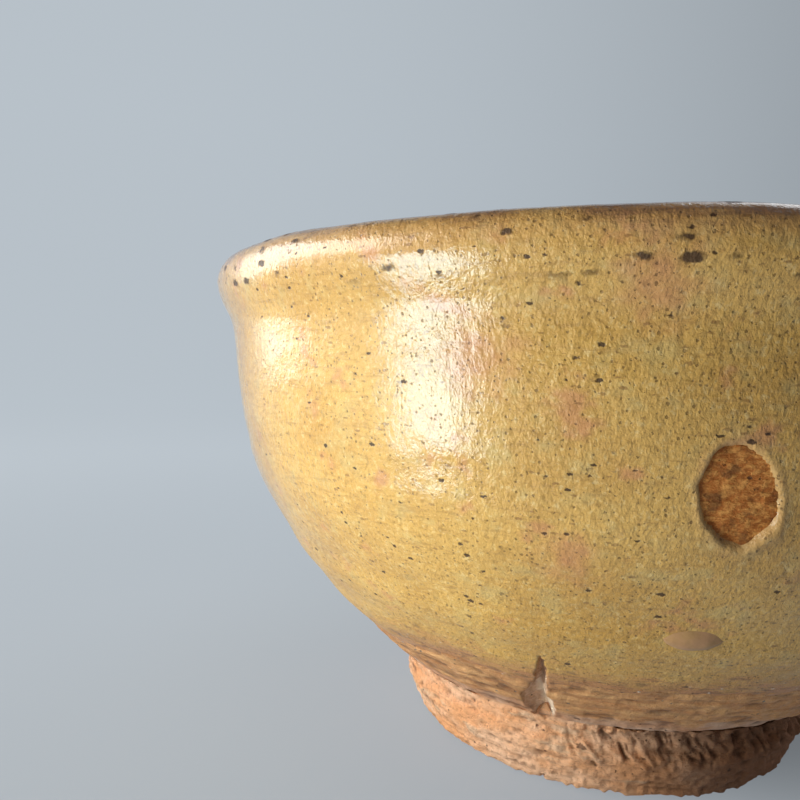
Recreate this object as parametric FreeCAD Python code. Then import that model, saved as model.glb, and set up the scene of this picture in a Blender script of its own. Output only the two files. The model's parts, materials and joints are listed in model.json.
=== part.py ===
"""A hand-thrown matcha bowl (chawan): a stoneware body on a turned foot ring, glazed inside and out.

Millimetres. The origin is the centre of the foot's resting face, +Z is up, and the bowl's finger
mark and knife nick are on the -Y side. Azimuths are measured from +X, counter-clockwise from above.
"""
import FreeCAD
import Part
import math
import os

V = FreeCAD.Vector

# Overall sizes, over the glaze.
RIM_DIAMETER = 130.0
BOWL_HEIGHT = 71.2

# The wall and the lip.
GLAZE_THICKNESS = 0.6
LIP_THICKNESS = 4.0  # of the clay alone; its edge is a half round
NECK_DROP = 10.0  # the narrowest place under the lip, below the top of the bowl
NECK_INSET = 2.6  # how far the neck lies inside the widest part of the lip
WALL_AT_NECK = 4.4
WALL_AT_BASE = 6.6
# The flank's shape from the foot joint to the neck: shares of that spread and of that rise.
FLANK_SHAPE = [(0.34, 0.175), (0.735, 0.455), (0.94, 0.75), (0.985, 0.9)]

# The foot ring.
FOOT_HEIGHT = 11.4
FOOT_TOP_DIAMETER = 67.8
FOOT_BASE_DIAMETER = 58.8
FOOT_SWELL = 0.5  # how far the ring's outer wall bulges at half its height
FOOT_FACE_WIDTH = 6.0  # of the ring at its base, edges included
FOOT_EDGE_RADIUS = 0.9
RECESS_DEPTH = 7.4
RECESS_TAPER = 1.2  # the recess is this much smaller in radius at its ceiling
NUB_RADIUS = 8.0  # the turned point left in the middle of the recess
NUB_HEIGHT = 1.2

# The inside of the bowl.
FLOOR_THICKNESS = 6.8  # between the recess ceiling and the tea pool
POOL_DIAMETER = 38.0
POOL_DEPTH = 1.1

# Where the outside glaze stops, above the foot joint.
GLAZE_LINE_RISE = 9.6

# The bare oval that a fingertip left in the outside glaze.
MARK_AZIMUTH = -78.3
MARK_HEIGHT = 45.5
MARK_WIDTH = 6.8
MARK_LENGTH = 9.8
MARK_LEAN = 8.0  # degrees, its top towards -X

# The drop in which a run of thick glaze ends, under the finger mark.
DROP_AZIMUTH = -79.4
DROP_HEIGHT = 29.6
DROP_WIDTH = 7.0
DROP_LENGTH = 3.6
DROP_PROUD = 0.8

# The nick that a trimming knife tore across the foot joint: a V-shaped cut that runs up the flank.
NICK_AZIMUTH = -99.0
NICK_SECTIONS = [  # height above the foot joint, half width at the surface, depth, sideways shift
    (12.6, 0.25, 0.3, 2.2),
    (9.0, 0.8, 1.3, 1.3),
    (4.2, 2.2, 2.6, -0.3),
    (1.6, 2.0, 2.4, 0.2),
    (-1.6, 0.3, 0.3, 0.6),
]

PARTS_FOLDER = "parts"
AXIS = V(0, 0, 1)
OFFSET_SAMPLES = 14  # steps along an outline when a curve is laid beside it
WALL_STATIONS = 12  # places down the flank where the inner surface is set by the wall's thickness


def at(radius, height):
    """A point of an outline, in the half plane that is turned about the axis."""
    return V(radius, 0, height)


def through(points, start=None, end=None):
    """A smooth curve through the points, with its end directions where they are given."""
    curve = Part.BSplineCurve()
    if start is None and end is None:
        curve.interpolate(points)
        return curve
    last = len(points) - 1
    tangents = [start or V()] + [V()] * (last - 1) + [end or V()]
    flags = [start is not None] + [False] * (last - 1) + [end is not None]
    curve.interpolate(Points=points, Tangents=tangents, TangentFlags=flags)
    return curve


def line(a, b):
    return Part.LineSegment(a, b).toShape()


def arc(a, middle, b):
    return Part.Arc(a, middle, b).toShape()


def turned(edges):
    """The solid that a closed outline of edges sweeps about the bowl's axis."""
    face = Part.Face(Part.Wire(Part.__sortEdges__(edges)))
    return face.revolve(V(0, 0, 0), AXIS, 360)


def outward(curve, u):
    """The unit vector out of the wall where an outline runs up its outside."""
    tangent = curve.tangent(u)[0]
    return V(tangent.z, 0, -tangent.x)


def beside(curve, start, end, distance):
    """A curve at a distance outside one stretch of an outline."""
    points = []
    for i in range(OFFSET_SAMPLES + 1):
        u = start + (end - start) * i / OFFSET_SAMPLES
        point = curve.value(u)
        points.append(point + outward(curve, u) * distance)
    return through(points, curve.tangent(start)[0], curve.tangent(end)[0])


def parameter_at_height(curve, height):
    low, high = curve.FirstParameter, curve.LastParameter
    for _ in range(60):
        middle = (low + high) / 2
        if curve.value(middle).z < height:
            low = middle
        else:
            high = middle
    return low


# The clay's outline, worked out from the sizes above.
LIP_RADIUS = LIP_THICKNESS / 2
LIP_CENTRE = at(
    RIM_DIAMETER / 2 - GLAZE_THICKNESS - LIP_RADIUS, BOWL_HEIGHT - GLAZE_THICKNESS - LIP_RADIUS
)
NECK = at(RIM_DIAMETER / 2 - GLAZE_THICKNESS - NECK_INSET, BOWL_HEIGHT - NECK_DROP)
JOINT = at(FOOT_TOP_DIAMETER / 2, FOOT_HEIGHT)
RECESS_RADIUS = FOOT_BASE_DIAMETER / 2 - FOOT_FACE_WIDTH - RECESS_TAPER
SEAT_INNER = at(RECESS_RADIUS, RECESS_DEPTH)
FLOOR_HEIGHT = RECESS_DEPTH + FLOOR_THICKNESS


def outside():
    """The clay's outer surface from the foot joint to the widest part of the lip."""
    points = [JOINT]
    for spread, rise in FLANK_SHAPE:
        points.append(
            at(JOINT.x + spread * (NECK.x - JOINT.x), JOINT.z + rise * (NECK.z - JOINT.z))
        )
    points += [NECK, LIP_CENTRE + at(LIP_RADIUS, 0)]
    return through(points, end=AXIS)


def wall_at(height):
    """The clay wall's thickness, which grows from the neck down to the base."""
    down = max(0.0, (NECK.z - height) / (NECK.z - JOINT.z))
    return WALL_AT_NECK + (WALL_AT_BASE - WALL_AT_NECK) * down ** 1.5


def inside(outer, coat=0.0):
    """The inner surface, a coat of glaze above the clay, from the lip to the edge of the tea pool."""
    lip = LIP_CENTRE - at(LIP_RADIUS + coat, 0)
    poles = [lip, lip - at(0, LIP_RADIUS)]
    top = parameter_at_height(outer, NECK.z)
    bottom = parameter_at_height(outer, JOINT.z + FLANK_SHAPE[0][1] * (NECK.z - JOINT.z))
    for i in range(WALL_STATIONS):
        u = top + (bottom - top) * i / (WALL_STATIONS - 1)
        point = outer.value(u)
        poles.append(point - outward(outer, u) * (wall_at(point.z) + coat))
    slope = at(POOL_DIAMETER / 4, POOL_DEPTH)
    edge = at(POOL_DIAMETER / 2, FLOOR_HEIGHT + POOL_DEPTH + coat)
    poles += [edge + slope, edge]
    curve = Part.BSplineCurve()
    curve.buildFromPoles(poles, False, 3)
    return curve


def pool(wall, height):
    """The dish from the end of a wall's curve to the axis, in line with the wall, level at height."""
    edge = wall.value(wall.LastParameter)
    run = wall.tangent(wall.LastParameter)[0]
    corner = edge + run * ((height - edge.z) / run.z)
    dish = Part.BezierCurve()
    dish.setPoles([edge, corner, at(0, height)])
    return dish


def lip_arc(radius, start, end):
    """Part of the lip's half round, between two angles from the outside over the top."""

    def point(degrees):
        angle = math.radians(degrees)
        return LIP_CENTRE + at(radius * math.cos(angle), radius * math.sin(angle))

    return arc(point(start), point((start + end) / 2), point(end))


def nick():
    """The V-shaped tool of the knife nick, through the flank, its glaze and the top of the foot."""
    outer = outside()
    clear = 3.0
    sections = []
    for rise, half_width, depth, shift in NICK_SECTIONS:
        height = JOINT.z + rise
        radius = outer.value(parameter_at_height(outer, max(height, JOINT.z))).x
        opening = half_width * (1 + clear / depth)
        corners = [V(radius + clear, shift + s * opening, height) for s in (-1, 1)]
        apex = V(radius - depth, shift, height)
        sections.append(Part.makePolygon([corners[0], corners[1], apex, corners[0]]))
    tool = Part.makeLoft(sections, True, True)
    tool.rotate(V(0, 0, 0), AXIS, NICK_AZIMUTH)
    return tool


def clay_body():
    """The thrown bowl with its floor: the foot ring's seat is the cone under it."""
    outer = outside()
    inner = inside(outer)
    ceiling = at(0, RECESS_DEPTH - NUB_HEIGHT)
    nub = through([ceiling, at(NUB_RADIUS, RECESS_DEPTH)], V(1, 0, 0), V(1, 0, 0))
    body = turned(
        [
            outer.toShape(),
            lip_arc(LIP_RADIUS, 0, 180),
            inner.toShape(),
            pool(inner, FLOOR_HEIGHT).toShape(),
            line(at(0, FLOOR_HEIGHT), ceiling),
            nub.toShape(),
            line(at(NUB_RADIUS, RECESS_DEPTH), SEAT_INNER),
            line(SEAT_INNER, JOINT),
        ]
    )
    return body.cut(nick())


def foot_ring():
    """The foot ring, which is luted to the cone under the body."""
    base_outer = FOOT_BASE_DIAMETER / 2
    base_inner = base_outer - FOOT_FACE_WIDTH
    edge = FOOT_EDGE_RADIUS
    side = JOINT - at(base_outer, 0)
    middle = at(base_outer, 0) + side * 0.5 + at(FOOT_SWELL, 0)
    edge_top = at(base_outer, edge)
    wall = through([JOINT, middle, edge_top])
    soften = edge * (1 - math.sqrt(0.5))
    inner_top = at(base_inner, edge)
    ring = turned(
        [
            wall.toShape(),
            arc(edge_top, at(base_outer - soften, soften), at(base_outer - edge, 0)),
            line(at(base_outer - edge, 0), at(base_inner + edge, 0)),
            arc(at(base_inner + edge, 0), at(base_inner + soften, soften), inner_top),
            line(inner_top, SEAT_INNER),
            line(SEAT_INNER, JOINT),
        ]
    )
    return ring.cut(nick())


def finger_mark():
    """The oval tool that bares the clay under the outside glaze."""
    reach = RIM_DIAMETER
    oval = Part.Ellipse(V(0, 0, 0), MARK_LENGTH / 2, MARK_WIDTH / 2).toShape()
    tool = Part.Face(Part.Wire([oval])).extrude(V(0, 0, reach))
    tool.rotate(V(0, 0, 0), AXIS, MARK_LEAN)
    tool.rotate(V(0, 0, 0), V(0, 1, 0), 90)
    tool.rotate(V(0, 0, 0), AXIS, MARK_AZIMUTH)
    tool.translate(V(0, 0, MARK_HEIGHT))
    return tool


def outer_glaze():
    """The glaze on the outside, from its rounded lower edge to the crest of the lip."""
    outer = outside()
    last = outer.LastParameter
    low = parameter_at_height(outer, JOINT.z + GLAZE_LINE_RISE)
    start = parameter_at_height(outer, JOINT.z + GLAZE_LINE_RISE + GLAZE_THICKNESS)
    face = beside(outer, start, last, GLAZE_THICKNESS)
    toe, top = outer.value(low), face.value(face.FirstParameter)
    belly = (toe + top) * 0.5 + outward(outer, start) * GLAZE_THICKNESS * 0.2
    glaze = turned(
        [
            Part.Edge(outer, low, last),
            arc(toe, belly, top),
            face.toShape(),
            lip_arc(LIP_RADIUS, 0, 90),
            lip_arc(LIP_RADIUS + GLAZE_THICKNESS, 0, 90),
            line(
                LIP_CENTRE + at(0, LIP_RADIUS), LIP_CENTRE + at(0, LIP_RADIUS + GLAZE_THICKNESS)
            ),
        ]
    )
    return glaze.cut(finger_mark()).cut(nick())


def inner_glaze():
    """The glaze on the inside, from the crest of the lip down to the tea pool."""
    outer = outside()
    inner = inside(outer)
    face = inside(outer, GLAZE_THICKNESS)
    surface = FLOOR_HEIGHT + GLAZE_THICKNESS
    return turned(
        [
            inner.toShape(),
            pool(inner, FLOOR_HEIGHT).toShape(),
            face.toShape(),
            pool(face, surface).toShape(),
            line(at(0, FLOOR_HEIGHT), at(0, surface)),
            lip_arc(LIP_RADIUS, 90, 180),
            lip_arc(LIP_RADIUS + GLAZE_THICKNESS, 90, 180),
            line(
                LIP_CENTRE + at(0, LIP_RADIUS), LIP_CENTRE + at(0, LIP_RADIUS + GLAZE_THICKNESS)
            ),
        ]
    )


def glaze_drop(under):
    """A low drop of thick glaze on the outside glaze: a spindle that the bowl's surface cuts."""
    outer = outside()
    u = parameter_at_height(outer, DROP_HEIGHT)
    sunk = DROP_LENGTH / 2 - DROP_PROUD
    centre = outer.value(u) + outward(outer, u) * (GLAZE_THICKNESS - sunk)
    ellipse = Part.Ellipse(V(0, 0, 0), DROP_WIDTH / 2, DROP_LENGTH / 2)
    ends = line(V(-DROP_WIDTH / 2, 0, 0), V(DROP_WIDTH / 2, 0, 0))
    half = Part.Face(Part.Wire([Part.Edge(ellipse, 0, math.pi), ends]))
    drop = half.revolve(V(0, 0, 0), V(1, 0, 0), 360)
    drop.rotate(V(0, 0, 0), AXIS, 90)
    drop.translate(centre)
    drop.rotate(V(0, 0, 0), AXIS, DROP_AZIMUTH)
    for solid in under:
        drop = drop.cut(solid)
    return max(drop.Solids, key=lambda solid: solid.CenterOfMass.x ** 2 + solid.CenterOfMass.y ** 2)


def main():
    os.makedirs(PARTS_FOLDER, exist_ok=True)
    body, glaze = clay_body(), outer_glaze()
    nodes = {
        "clay_body": body,
        "foot_ring": foot_ring(),
        "outer_glaze": glaze,
        "inner_glaze": inner_glaze(),
        "glaze_drop": glaze_drop([body, glaze]),
    }
    for name, shape in nodes.items():
        shape.exportStep(os.path.join(PARTS_FOLDER, name + ".step"))
        print(name, "valid", shape.isValid(), "solids", len(shape.Solids), "mm3", shape.Volume)


main()
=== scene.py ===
"""The looks of the matcha bowl: rough stoneware, a fused ochre glaze, a studio and a close camera.

Lengths are millimetres in the numpy code and metres in Blender. Azimuths are from +X; the camera is
on the -Y side, where the bowl's bare finger mark, glaze drop and knife nick are.
"""
import json
import math

import bpy
import numpy as np
from mathutils import Matrix, Vector

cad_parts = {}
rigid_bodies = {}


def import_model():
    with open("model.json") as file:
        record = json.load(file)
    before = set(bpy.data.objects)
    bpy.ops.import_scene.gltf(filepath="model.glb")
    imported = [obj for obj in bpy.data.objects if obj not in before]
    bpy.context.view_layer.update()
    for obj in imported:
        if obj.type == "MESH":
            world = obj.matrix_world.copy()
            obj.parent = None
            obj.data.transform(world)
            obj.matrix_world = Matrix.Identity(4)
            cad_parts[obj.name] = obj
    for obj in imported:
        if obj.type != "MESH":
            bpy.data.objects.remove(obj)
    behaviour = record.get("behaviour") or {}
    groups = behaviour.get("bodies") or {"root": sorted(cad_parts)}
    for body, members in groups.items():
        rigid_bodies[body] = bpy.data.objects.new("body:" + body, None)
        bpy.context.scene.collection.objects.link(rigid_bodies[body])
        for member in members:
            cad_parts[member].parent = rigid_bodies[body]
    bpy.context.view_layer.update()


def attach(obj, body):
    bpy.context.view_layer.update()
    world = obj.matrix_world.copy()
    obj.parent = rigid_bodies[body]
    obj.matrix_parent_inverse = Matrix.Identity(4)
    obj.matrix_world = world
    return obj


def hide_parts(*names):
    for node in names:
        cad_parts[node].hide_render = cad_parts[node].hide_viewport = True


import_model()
MM = 0.001
COARSE = 1.0  # times the mesh spacing

# ---------------------------------------------------------------- the clay's outline

# (radius, height) of the clay's skin: up the outside, over the lip and down the inside to the axis.
CLAY_OUTLINE = [
    (33.9, 11.4), (38.1, 15.0), (43.0, 19.9), (48.7, 26.3), (54.25, 34.1), (58.3, 42.5),
    (60.15, 49.6), (61.2, 56.2), (61.75, 61.0), (62.1, 62.4), (63.25, 64.7), (64.05, 66.3),
    (64.4, 68.6),
    (63.81, 70.01), (62.4, 70.6), (60.99, 70.01), (60.35, 68.4), (58.95, 65.0), (57.4, 61.0),
    (56.6, 55.8), (55.5, 50.0), (52.9, 42.5), (47.7, 34.1), (40.9, 26.3), (33.5, 20.6),
    (28.2, 17.6), (19.0, 15.3), (9.5, 14.5), (4.0, 14.25), (0.0, 14.2),
]
CREST_POINT = 14  # the lip's crest in that list
GLAZE = 0.6  # thickness of the thick glaze
OUTLINE_STEP = 0.1  # between the points of a smoothed outline

# The foot ring's skin, down the recess, across the foot face and up the outside to the joint.
FOOT_OUTLINE = [
    (22.2, 7.4), (22.7, 4.6), (23.2, 2.0), (23.7, 0.6), (24.6, 0.12), (26.4, 0.05),
    (28.2, 0.1), (29.2, 0.45), (29.9, 1.3), (30.55, 2.7), (31.3, 4.6), (31.75, 6.4),
    (31.6, 7.2), (31.45, 8.3), (31.75, 9.8), (32.7, 10.9), (33.9, 11.4),
]


def smoothstep(low, high, x):
    t = np.clip((x - low) / (high - low), 0.0, 1.0)
    return t * t * (3 - 2 * t)


def spline(points, step):
    """Points every step along a natural cubic through the given ones."""
    p = np.array(points, float)
    t = np.concatenate([[0], np.cumsum(np.linalg.norm(np.diff(p, axis=0), axis=1))])
    n, h = len(t), np.diff(t)
    a, b = np.eye(n), np.zeros((n, 2))
    for i in range(1, n - 1):
        a[i, i - 1 : i + 2] = h[i - 1], 2 * (h[i - 1] + h[i]), h[i]
        b[i] = 6 * ((p[i + 1] - p[i]) / h[i] - (p[i] - p[i - 1]) / h[i - 1])
    m = np.linalg.solve(a, b)
    u = np.arange(0, t[-1], step)
    k = np.clip(np.searchsorted(t, u, "right") - 1, 0, n - 2)
    w, v, hk = (t[k + 1] - u)[:, None], (u - t[k])[:, None], h[k][:, None]
    xy = (m[k] * w**3 + m[k + 1] * v**3) / (6 * hk)
    xy += (p[k] / hk - m[k] * hk / 6) * w + (p[k + 1] / hk - m[k + 1] * hk / 6) * v
    return np.vstack([xy, p[-1]])


class Outline:
    """A turned outline by its length: radius, height and the direction out of the material."""

    def __init__(self, points):
        xy = spline(points, OUTLINE_STEP)
        self.s = np.concatenate([[0], np.cumsum(np.linalg.norm(np.diff(xy, axis=0), axis=1))])
        self.r, self.z = xy[:, 0], xy[:, 1]
        run = np.gradient(xy, axis=0)
        run /= np.linalg.norm(run, axis=1)[:, None]
        self.nr, self.nz = run[:, 1], -run[:, 0]
        self.length = self.s[-1]

    def at(self, s):
        return [np.interp(s, self.s, a) for a in (self.r, self.z, self.nr, self.nz)]

    def nearest(self, r, z):
        return self.s[np.argmin((self.r - r) ** 2 + (self.z - z) ** 2)]


CLAY = Outline(CLAY_OUTLINE)
FOOT = Outline(FOOT_OUTLINE)
CREST = CLAY.nearest(*CLAY_OUTLINE[CREST_POINT])

# ---------------------------------------------------------------- noise


# Large odd numbers that scatter x, y, z and the seed, and one that scatters their sum again.
HASH_X, HASH_Y, HASH_Z = np.uint32(374761393), np.uint32(668265263), np.uint32(2147483647)
HASH_SEED, HASH_SUM = np.uint32(974634777), np.uint32(1274126177)
LOW_BITS = 0xFFFFFF
NOISE_GAIN = 1.35  # blending between lattice points narrows the spread, and this widens it again
NOISE_ORIGIN = 1000.0


def lattice(ix, iy, iz, seed):
    """A repeatable random number from -1 to 1 for each whole-number point."""
    with np.errstate(over="ignore"):
        h = ix.astype(np.uint32) * HASH_X + iy.astype(np.uint32) * HASH_Y
        h = h + iz.astype(np.uint32) * HASH_Z + np.uint32(seed) * HASH_SEED
        h = (h ^ (h >> np.uint32(13))) * HASH_SUM
        h = h ^ (h >> np.uint32(16))
    return (h & np.uint32(LOW_BITS)).astype(np.float64) / (LOW_BITS // 2) - 1.0


def noise(p, size, seed):
    """Smooth noise at points (..., 3), about -1 to 1, with features of a size or x, y, z sizes."""
    q = p / np.broadcast_to(np.array(size, float), (3,)) + NOISE_ORIGIN
    i = np.floor(q).astype(np.int64)
    f = q - i
    f = f * f * (3 - 2 * f)
    total = 0.0
    for dx in (0, 1):
        for dy in (0, 1):
            for dz in (0, 1):
                w = (f[..., 0] if dx else 1 - f[..., 0]) * (f[..., 1] if dy else 1 - f[..., 1])
                w = w * (f[..., 2] if dz else 1 - f[..., 2])
                total = total + w * lattice(i[..., 0] + dx, i[..., 1] + dy, i[..., 2] + dz, seed)
    return total * NOISE_GAIN


def layered(p, layers):
    """The sum of several noises at points p, each given as (height, size or sizes, seed)."""
    return sum(height * noise(p, size, seed) for height, size, seed in layers)


# ---------------------------------------------------------------- where things are on the skin

MARK = dict(azimuth=-78.3, height=45.5, half_width=3.35, half_height=4.75, lean=0.16, taper=0.16)
MARK_SCALE = 3.9  # millimetres for 1 of the oval's relative distance
MARK_SLOPE = 1.05  # millimetres along the skin for 1 of height, at the mark
MARK_RAGGED = [(0.05, 1.6, 31), (0.03, 0.7, 32)]
NICK_AZIMUTH = -99.0
# height, sideways centre, half width and depth of the torn nick
NICK = np.array([
    (9.6, -0.4, 0.05, 0.0), (10.4, -0.5, 0.6, 0.9), (11.6, -0.4, 1.3, 2.0), (13.2, -0.5, 2.0, 2.5),
    (15.0, -0.5, 2.05, 2.5), (16.4, -0.1, 1.35, 2.1), (18.4, 0.6, 0.8, 1.6), (20.6, 1.2, 0.55, 1.3),
    (22.6, 1.6, 0.4, 0.8), (24.2, 1.9, 0.1, 0.0),
])
NICK_WALLS = (1.35, 0.95)  # how steep its left and right walls are
NICK_FOOT = (17.5, 15.5)  # the lit facet ends between these heights
# azimuth, height at which the thick glaze ends
GLAZE_LINE = np.array([
    (-180, 20.2), (-150, 19.6), (-132, 19.2), (-112, 21.6), (-104, 20.6), (-89, 20.9),
    (-75, 21.3), (-64, 22.1), (-30, 20.8), (0, 19.8), (50, 21.4), (100, 20.3), (145, 21.0),
    (180, 20.2),
])
LINE_WANDER = [(0.45, (5, 5, 9), 51), (0.25, (1.6, 1.6, 6), 52)]
THROWING_CLIMB = 3.0  # how far a throwing ridge climbs in a turn
THROWING_WIDE, THROWING_FINE = (0.10, 3.4, 61), (0.018, 1.1, 62)  # height, size, seed
GLAZE_LAYERS = [(0.09, 9.0, 71), (0.022, (3.4, 3.4, 4.6), 72), (0.015, 1.6, 73),
                (0.013, (0.85, 0.85, 0.8), 74)]
TURNED_LAYERS = [(0.13, (4.5, 4.5, 0.75), 81), (0.08, (2.2, 2.2, 0.4), 82), (0.10, 0.9, 83),
                 (0.08, 2.3, 84)]
FIBRE_LAYERS = [(0.12, (1.1, 1.1, 0.6), 85), (0.07, 0.55, 86)]
FIBRE_RISE = 0.24  # how far the finger mark's clay stands out of the clay's turned skin
BAND_TOP = 30  # above this height turned clay is hidden by glaze


def across(theta, azimuth, r):
    """Millimetres along the skin from an azimuth in degrees."""
    d = (theta - math.radians(azimuth) + math.pi) % (2 * math.pi) - math.pi
    return d * r


def mark_edge(theta, r, z, p):
    """Roughly how far outside the bare finger mark a point is, negative inside."""
    u = across(theta, MARK["azimuth"], r) + (z - MARK["height"]) * MARK["lean"]
    v = (z - MARK["height"]) * MARK_SLOPE
    narrow = 1 - MARK["taper"] * smoothstep(0.0, 5.0, v)
    e = np.sqrt((u / (MARK["half_width"] * narrow)) ** 2 + (v / MARK["half_height"]) ** 2)
    return (e + layered(p, MARK_RAGGED) - 1) * MARK_SCALE


def nick_depth(theta, r, z, p):
    """The depth of the torn nick below the skin, and how far inside its outline a point is."""
    x = across(theta, NICK_AZIMUTH, r) + 0.22 * noise(p, 1.1, 41)
    centre, half, depth = [np.interp(z, NICK[:, 0], NICK[:, i]) for i in (1, 2, 3)]
    inside = 1 - np.abs(x - centre) / np.maximum(half, 0.05)
    inside = np.where((z > NICK[0, 0]) & (z < NICK[-1, 0]), inside, -1.0)
    skew = np.where(x < centre, *NICK_WALLS)
    cut = depth * np.clip(inside, 0, 1) ** (0.75 / skew)
    cut = cut * (1 + 0.16 * noise(p, 0.9, 42))
    return np.where(inside > 0, cut, 0.0), inside


def nick_facet(theta, r, z, p):
    """The lit right wall of the nick's foot: 1 there, 0 elsewhere."""
    x = across(theta, NICK_AZIMUTH, r)
    centre = np.interp(z, NICK[:, 0], NICK[:, 1])
    return smoothstep(-0.75, -0.2, x - centre) * smoothstep(*NICK_FOOT, z)


def glaze_line(theta, p):
    """The height at which the thick glaze ends."""
    low = np.interp(np.degrees(theta), GLAZE_LINE[:, 0], GLAZE_LINE[:, 1])
    return low + layered(p, LINE_WANDER)


def throwing(theta, z):
    """Low ridges that spiral up the bowl from the potter's fingers."""
    turn = z + THROWING_CLIMB * theta / (2 * math.pi)
    zeros = np.zeros_like(turn)
    level = np.stack([turn, zeros, zeros], -1)
    round_it = np.stack([turn, 2 * np.cos(theta), 2 * np.sin(theta)], -1)
    return layered(level, [THROWING_WIDE]) + layered(round_it, [THROWING_FINE])


def glaze_relief(theta, z, p):
    """The unevenness of the thick glaze."""
    return throwing(theta, z) + layered(p, GLAZE_LAYERS)


def turned_clay(p):
    """Turning marks and grit on the bare band above the foot."""
    return layered(p, TURNED_LAYERS)


def clay_relief(theta, r, z, p):
    """The clay's skin where it shows, with the nick. Positive is outwards."""
    fibre = layered(p, FIBRE_LAYERS) + FIBRE_RISE
    bare = mark_edge(theta, r, z, p)
    h = np.where(bare < 1.0, fibre, turned_clay(p) * (z < BAND_TOP))
    cut, _ = nick_depth(theta, r, z, p)
    return h - cut


# How far the rim is oval, as a share of the radius, and the phase of the oval.
OVAL, OVAL_PHASE = 0.0022, 1.2
# (height, waves in a turn, phase) of the rim's unevenness.
RIM_WAVES = [(0.22, 2, 0.4), (0.12, 3, -1.0), (0.06, 9, 2.0), (0.05, 17, 0.0)]
# Drawn in and lowered by this much, the uneven bowl stays inside the CAD's true one.
DRAWN_IN, LOWERED = 0.0034, 0.52


def settle(theta, r, z):
    """The whole bowl's unevenness: a little oval, with a rim that isn't quite level."""
    grow = smoothstep(14, 64, z)
    r = r * (1 + (OVAL * np.cos(2 * theta + OVAL_PHASE) - DRAWN_IN) * grow)
    wave = sum(height * np.sin(count * theta + phase) for height, count, phase in RIM_WAVES)
    z = z + (wave - LOWERED) * smoothstep(45, 70, z)
    x, y = r * np.cos(theta), r * np.sin(theta)
    return np.stack([x, y, z], -1)


def skin_points(outline, theta, s, height):
    """Points a height outside an outline. theta and s broadcast; height may be a function."""
    theta, s = np.broadcast_arrays(theta, s)
    r, z, nr, nz = outline.at(s)
    p = np.stack([r * np.cos(theta), r * np.sin(theta), z], -1)
    h = height(theta, r, z, p) if callable(height) else height
    return settle(theta, r + nr * h, z + nz * h)


# ---------------------------------------------------------------- meshes


COLUMN_SPANS = [(-180, -108, 0.46), (-108, -70, 0.27), (-70, 0, 0.46), (0, 180, 0.8)]
UV_MARGIN = 0.006


def columns():
    """Azimuths round the bowl, closest together on the side with the marks."""
    parts = []
    for a, b, step in COLUMN_SPANS:
        parts.append(np.linspace(a, b, round((b - a) / (step * COARSE)), endpoint=False))
    return np.radians(np.concatenate(parts))


def rows(stops):
    """Lengths along an outline: (from, to, step) spans, the end of each left to the next."""
    parts = []
    for a, b, step in stops:
        count = max(2, round(abs(b - a) / (step * COARSE)))
        parts.append(np.linspace(a, b, count, endpoint=False))
    return np.concatenate(parts + [[stops[-1][1]]])


def sheet_mesh(name, rings, weights, strips, caps=(False, False), loop=False, marks=None):
    """A mesh of stacked rings of points (rows, columns, 3), with a UV map in strips.

    weights is each row's share of the UV height; caps close an end with a point on the axis; loop
    joins the last ring to the first. marks maps names to values for each point.
    """
    nr, nc = rings.shape[:2]
    points = rings.reshape(-1, 3)
    index = np.arange(nr * nc).reshape(nr, nc)
    nxt = np.roll(index, -1, axis=1)
    upper, lower = index[1:], index[:-1]
    unext, lnext = nxt[1:], nxt[:-1]
    row_of = np.repeat(np.arange(nr - 1), nc)
    if loop:
        upper, lower = np.vstack([upper, index[:1]]), np.vstack([lower, index[-1:]])
        unext, lnext = np.vstack([unext, nxt[:1]]), np.vstack([lnext, nxt[-1:]])
        row_of = np.concatenate([row_of, np.full(nc, nr - 1)])
    quads = np.stack([lower, lnext, unext, upper], -1).reshape(-1, 4)
    along = np.concatenate([[0], np.cumsum(weights)])
    along = along / along[-1]
    turn = np.linspace(0, 1, nc + 1)
    column = np.tile(np.arange(nc), len(quads) // nc)
    strip = np.minimum((column * strips) // nc, strips - 1)
    start = np.ceil(np.arange(strips + 1) * nc / strips) / nc
    width = start[strip + 1] - start[strip]
    room = 1 - 2 * UV_MARGIN

    def corner(col, row):
        u = (turn[col] - start[strip]) / width
        v = (strip + UV_MARGIN + along[row] * room) / strips
        return np.stack([UV_MARGIN + u * room, v], -1)

    top = np.minimum(row_of + 1, len(along) - 1)
    uv = np.stack(
        [corner(column, row_of), corner(column + 1, row_of), corner(column + 1, top),
         corner(column, top)], 1
    ).reshape(-1, 2)
    faces = [quads]
    poles = []
    tris, tri_uv = [], []
    for end, wanted in enumerate(caps):
        if wanted:
            ring = index[-1 if end else 0]
            pole = points.shape[0] + len(poles)
            poles.append(rings[-1 if end else 0].mean(0))
            following = np.roll(ring, -1)
            fan = [ring, following, np.full(nc, pole)]
            tris.append(np.stack(fan if end else fan[::-1], -1))
            tri_uv.append(np.full((nc * 3, 2), [0.5, 1 - 0.002 if end else 0.002]))
    if poles:
        points = np.vstack([points, poles])
        faces.append(np.concatenate(tris))
        uv = np.vstack([uv] + tri_uv)
    mesh = bpy.data.meshes.new(name)
    mesh.from_pydata((points * MM).tolist(), [], sum([f.tolist() for f in faces], []))
    layer = mesh.uv_layers.new(name="OFBake")
    layer.data.foreach_set("uv", uv.astype(np.float32).ravel())
    for key, values in (marks or {}).items():
        full = np.zeros(len(points), np.float32)
        full[: nr * nc] = values.reshape(-1)
        mesh.attributes.new(key, "FLOAT", "POINT").data.foreach_set("value", full)
    mesh.polygons.foreach_set("use_smooth", [True] * len(mesh.polygons))
    mesh.update()
    mesh.validate()
    return mesh


def add_piece(name, mesh, material, nodes):
    piece = bpy.data.objects.new(name, mesh)
    bpy.context.scene.collection.objects.link(piece)
    mesh.materials.append(material)
    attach(piece, "root")
    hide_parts(*nodes)
    return piece


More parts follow.
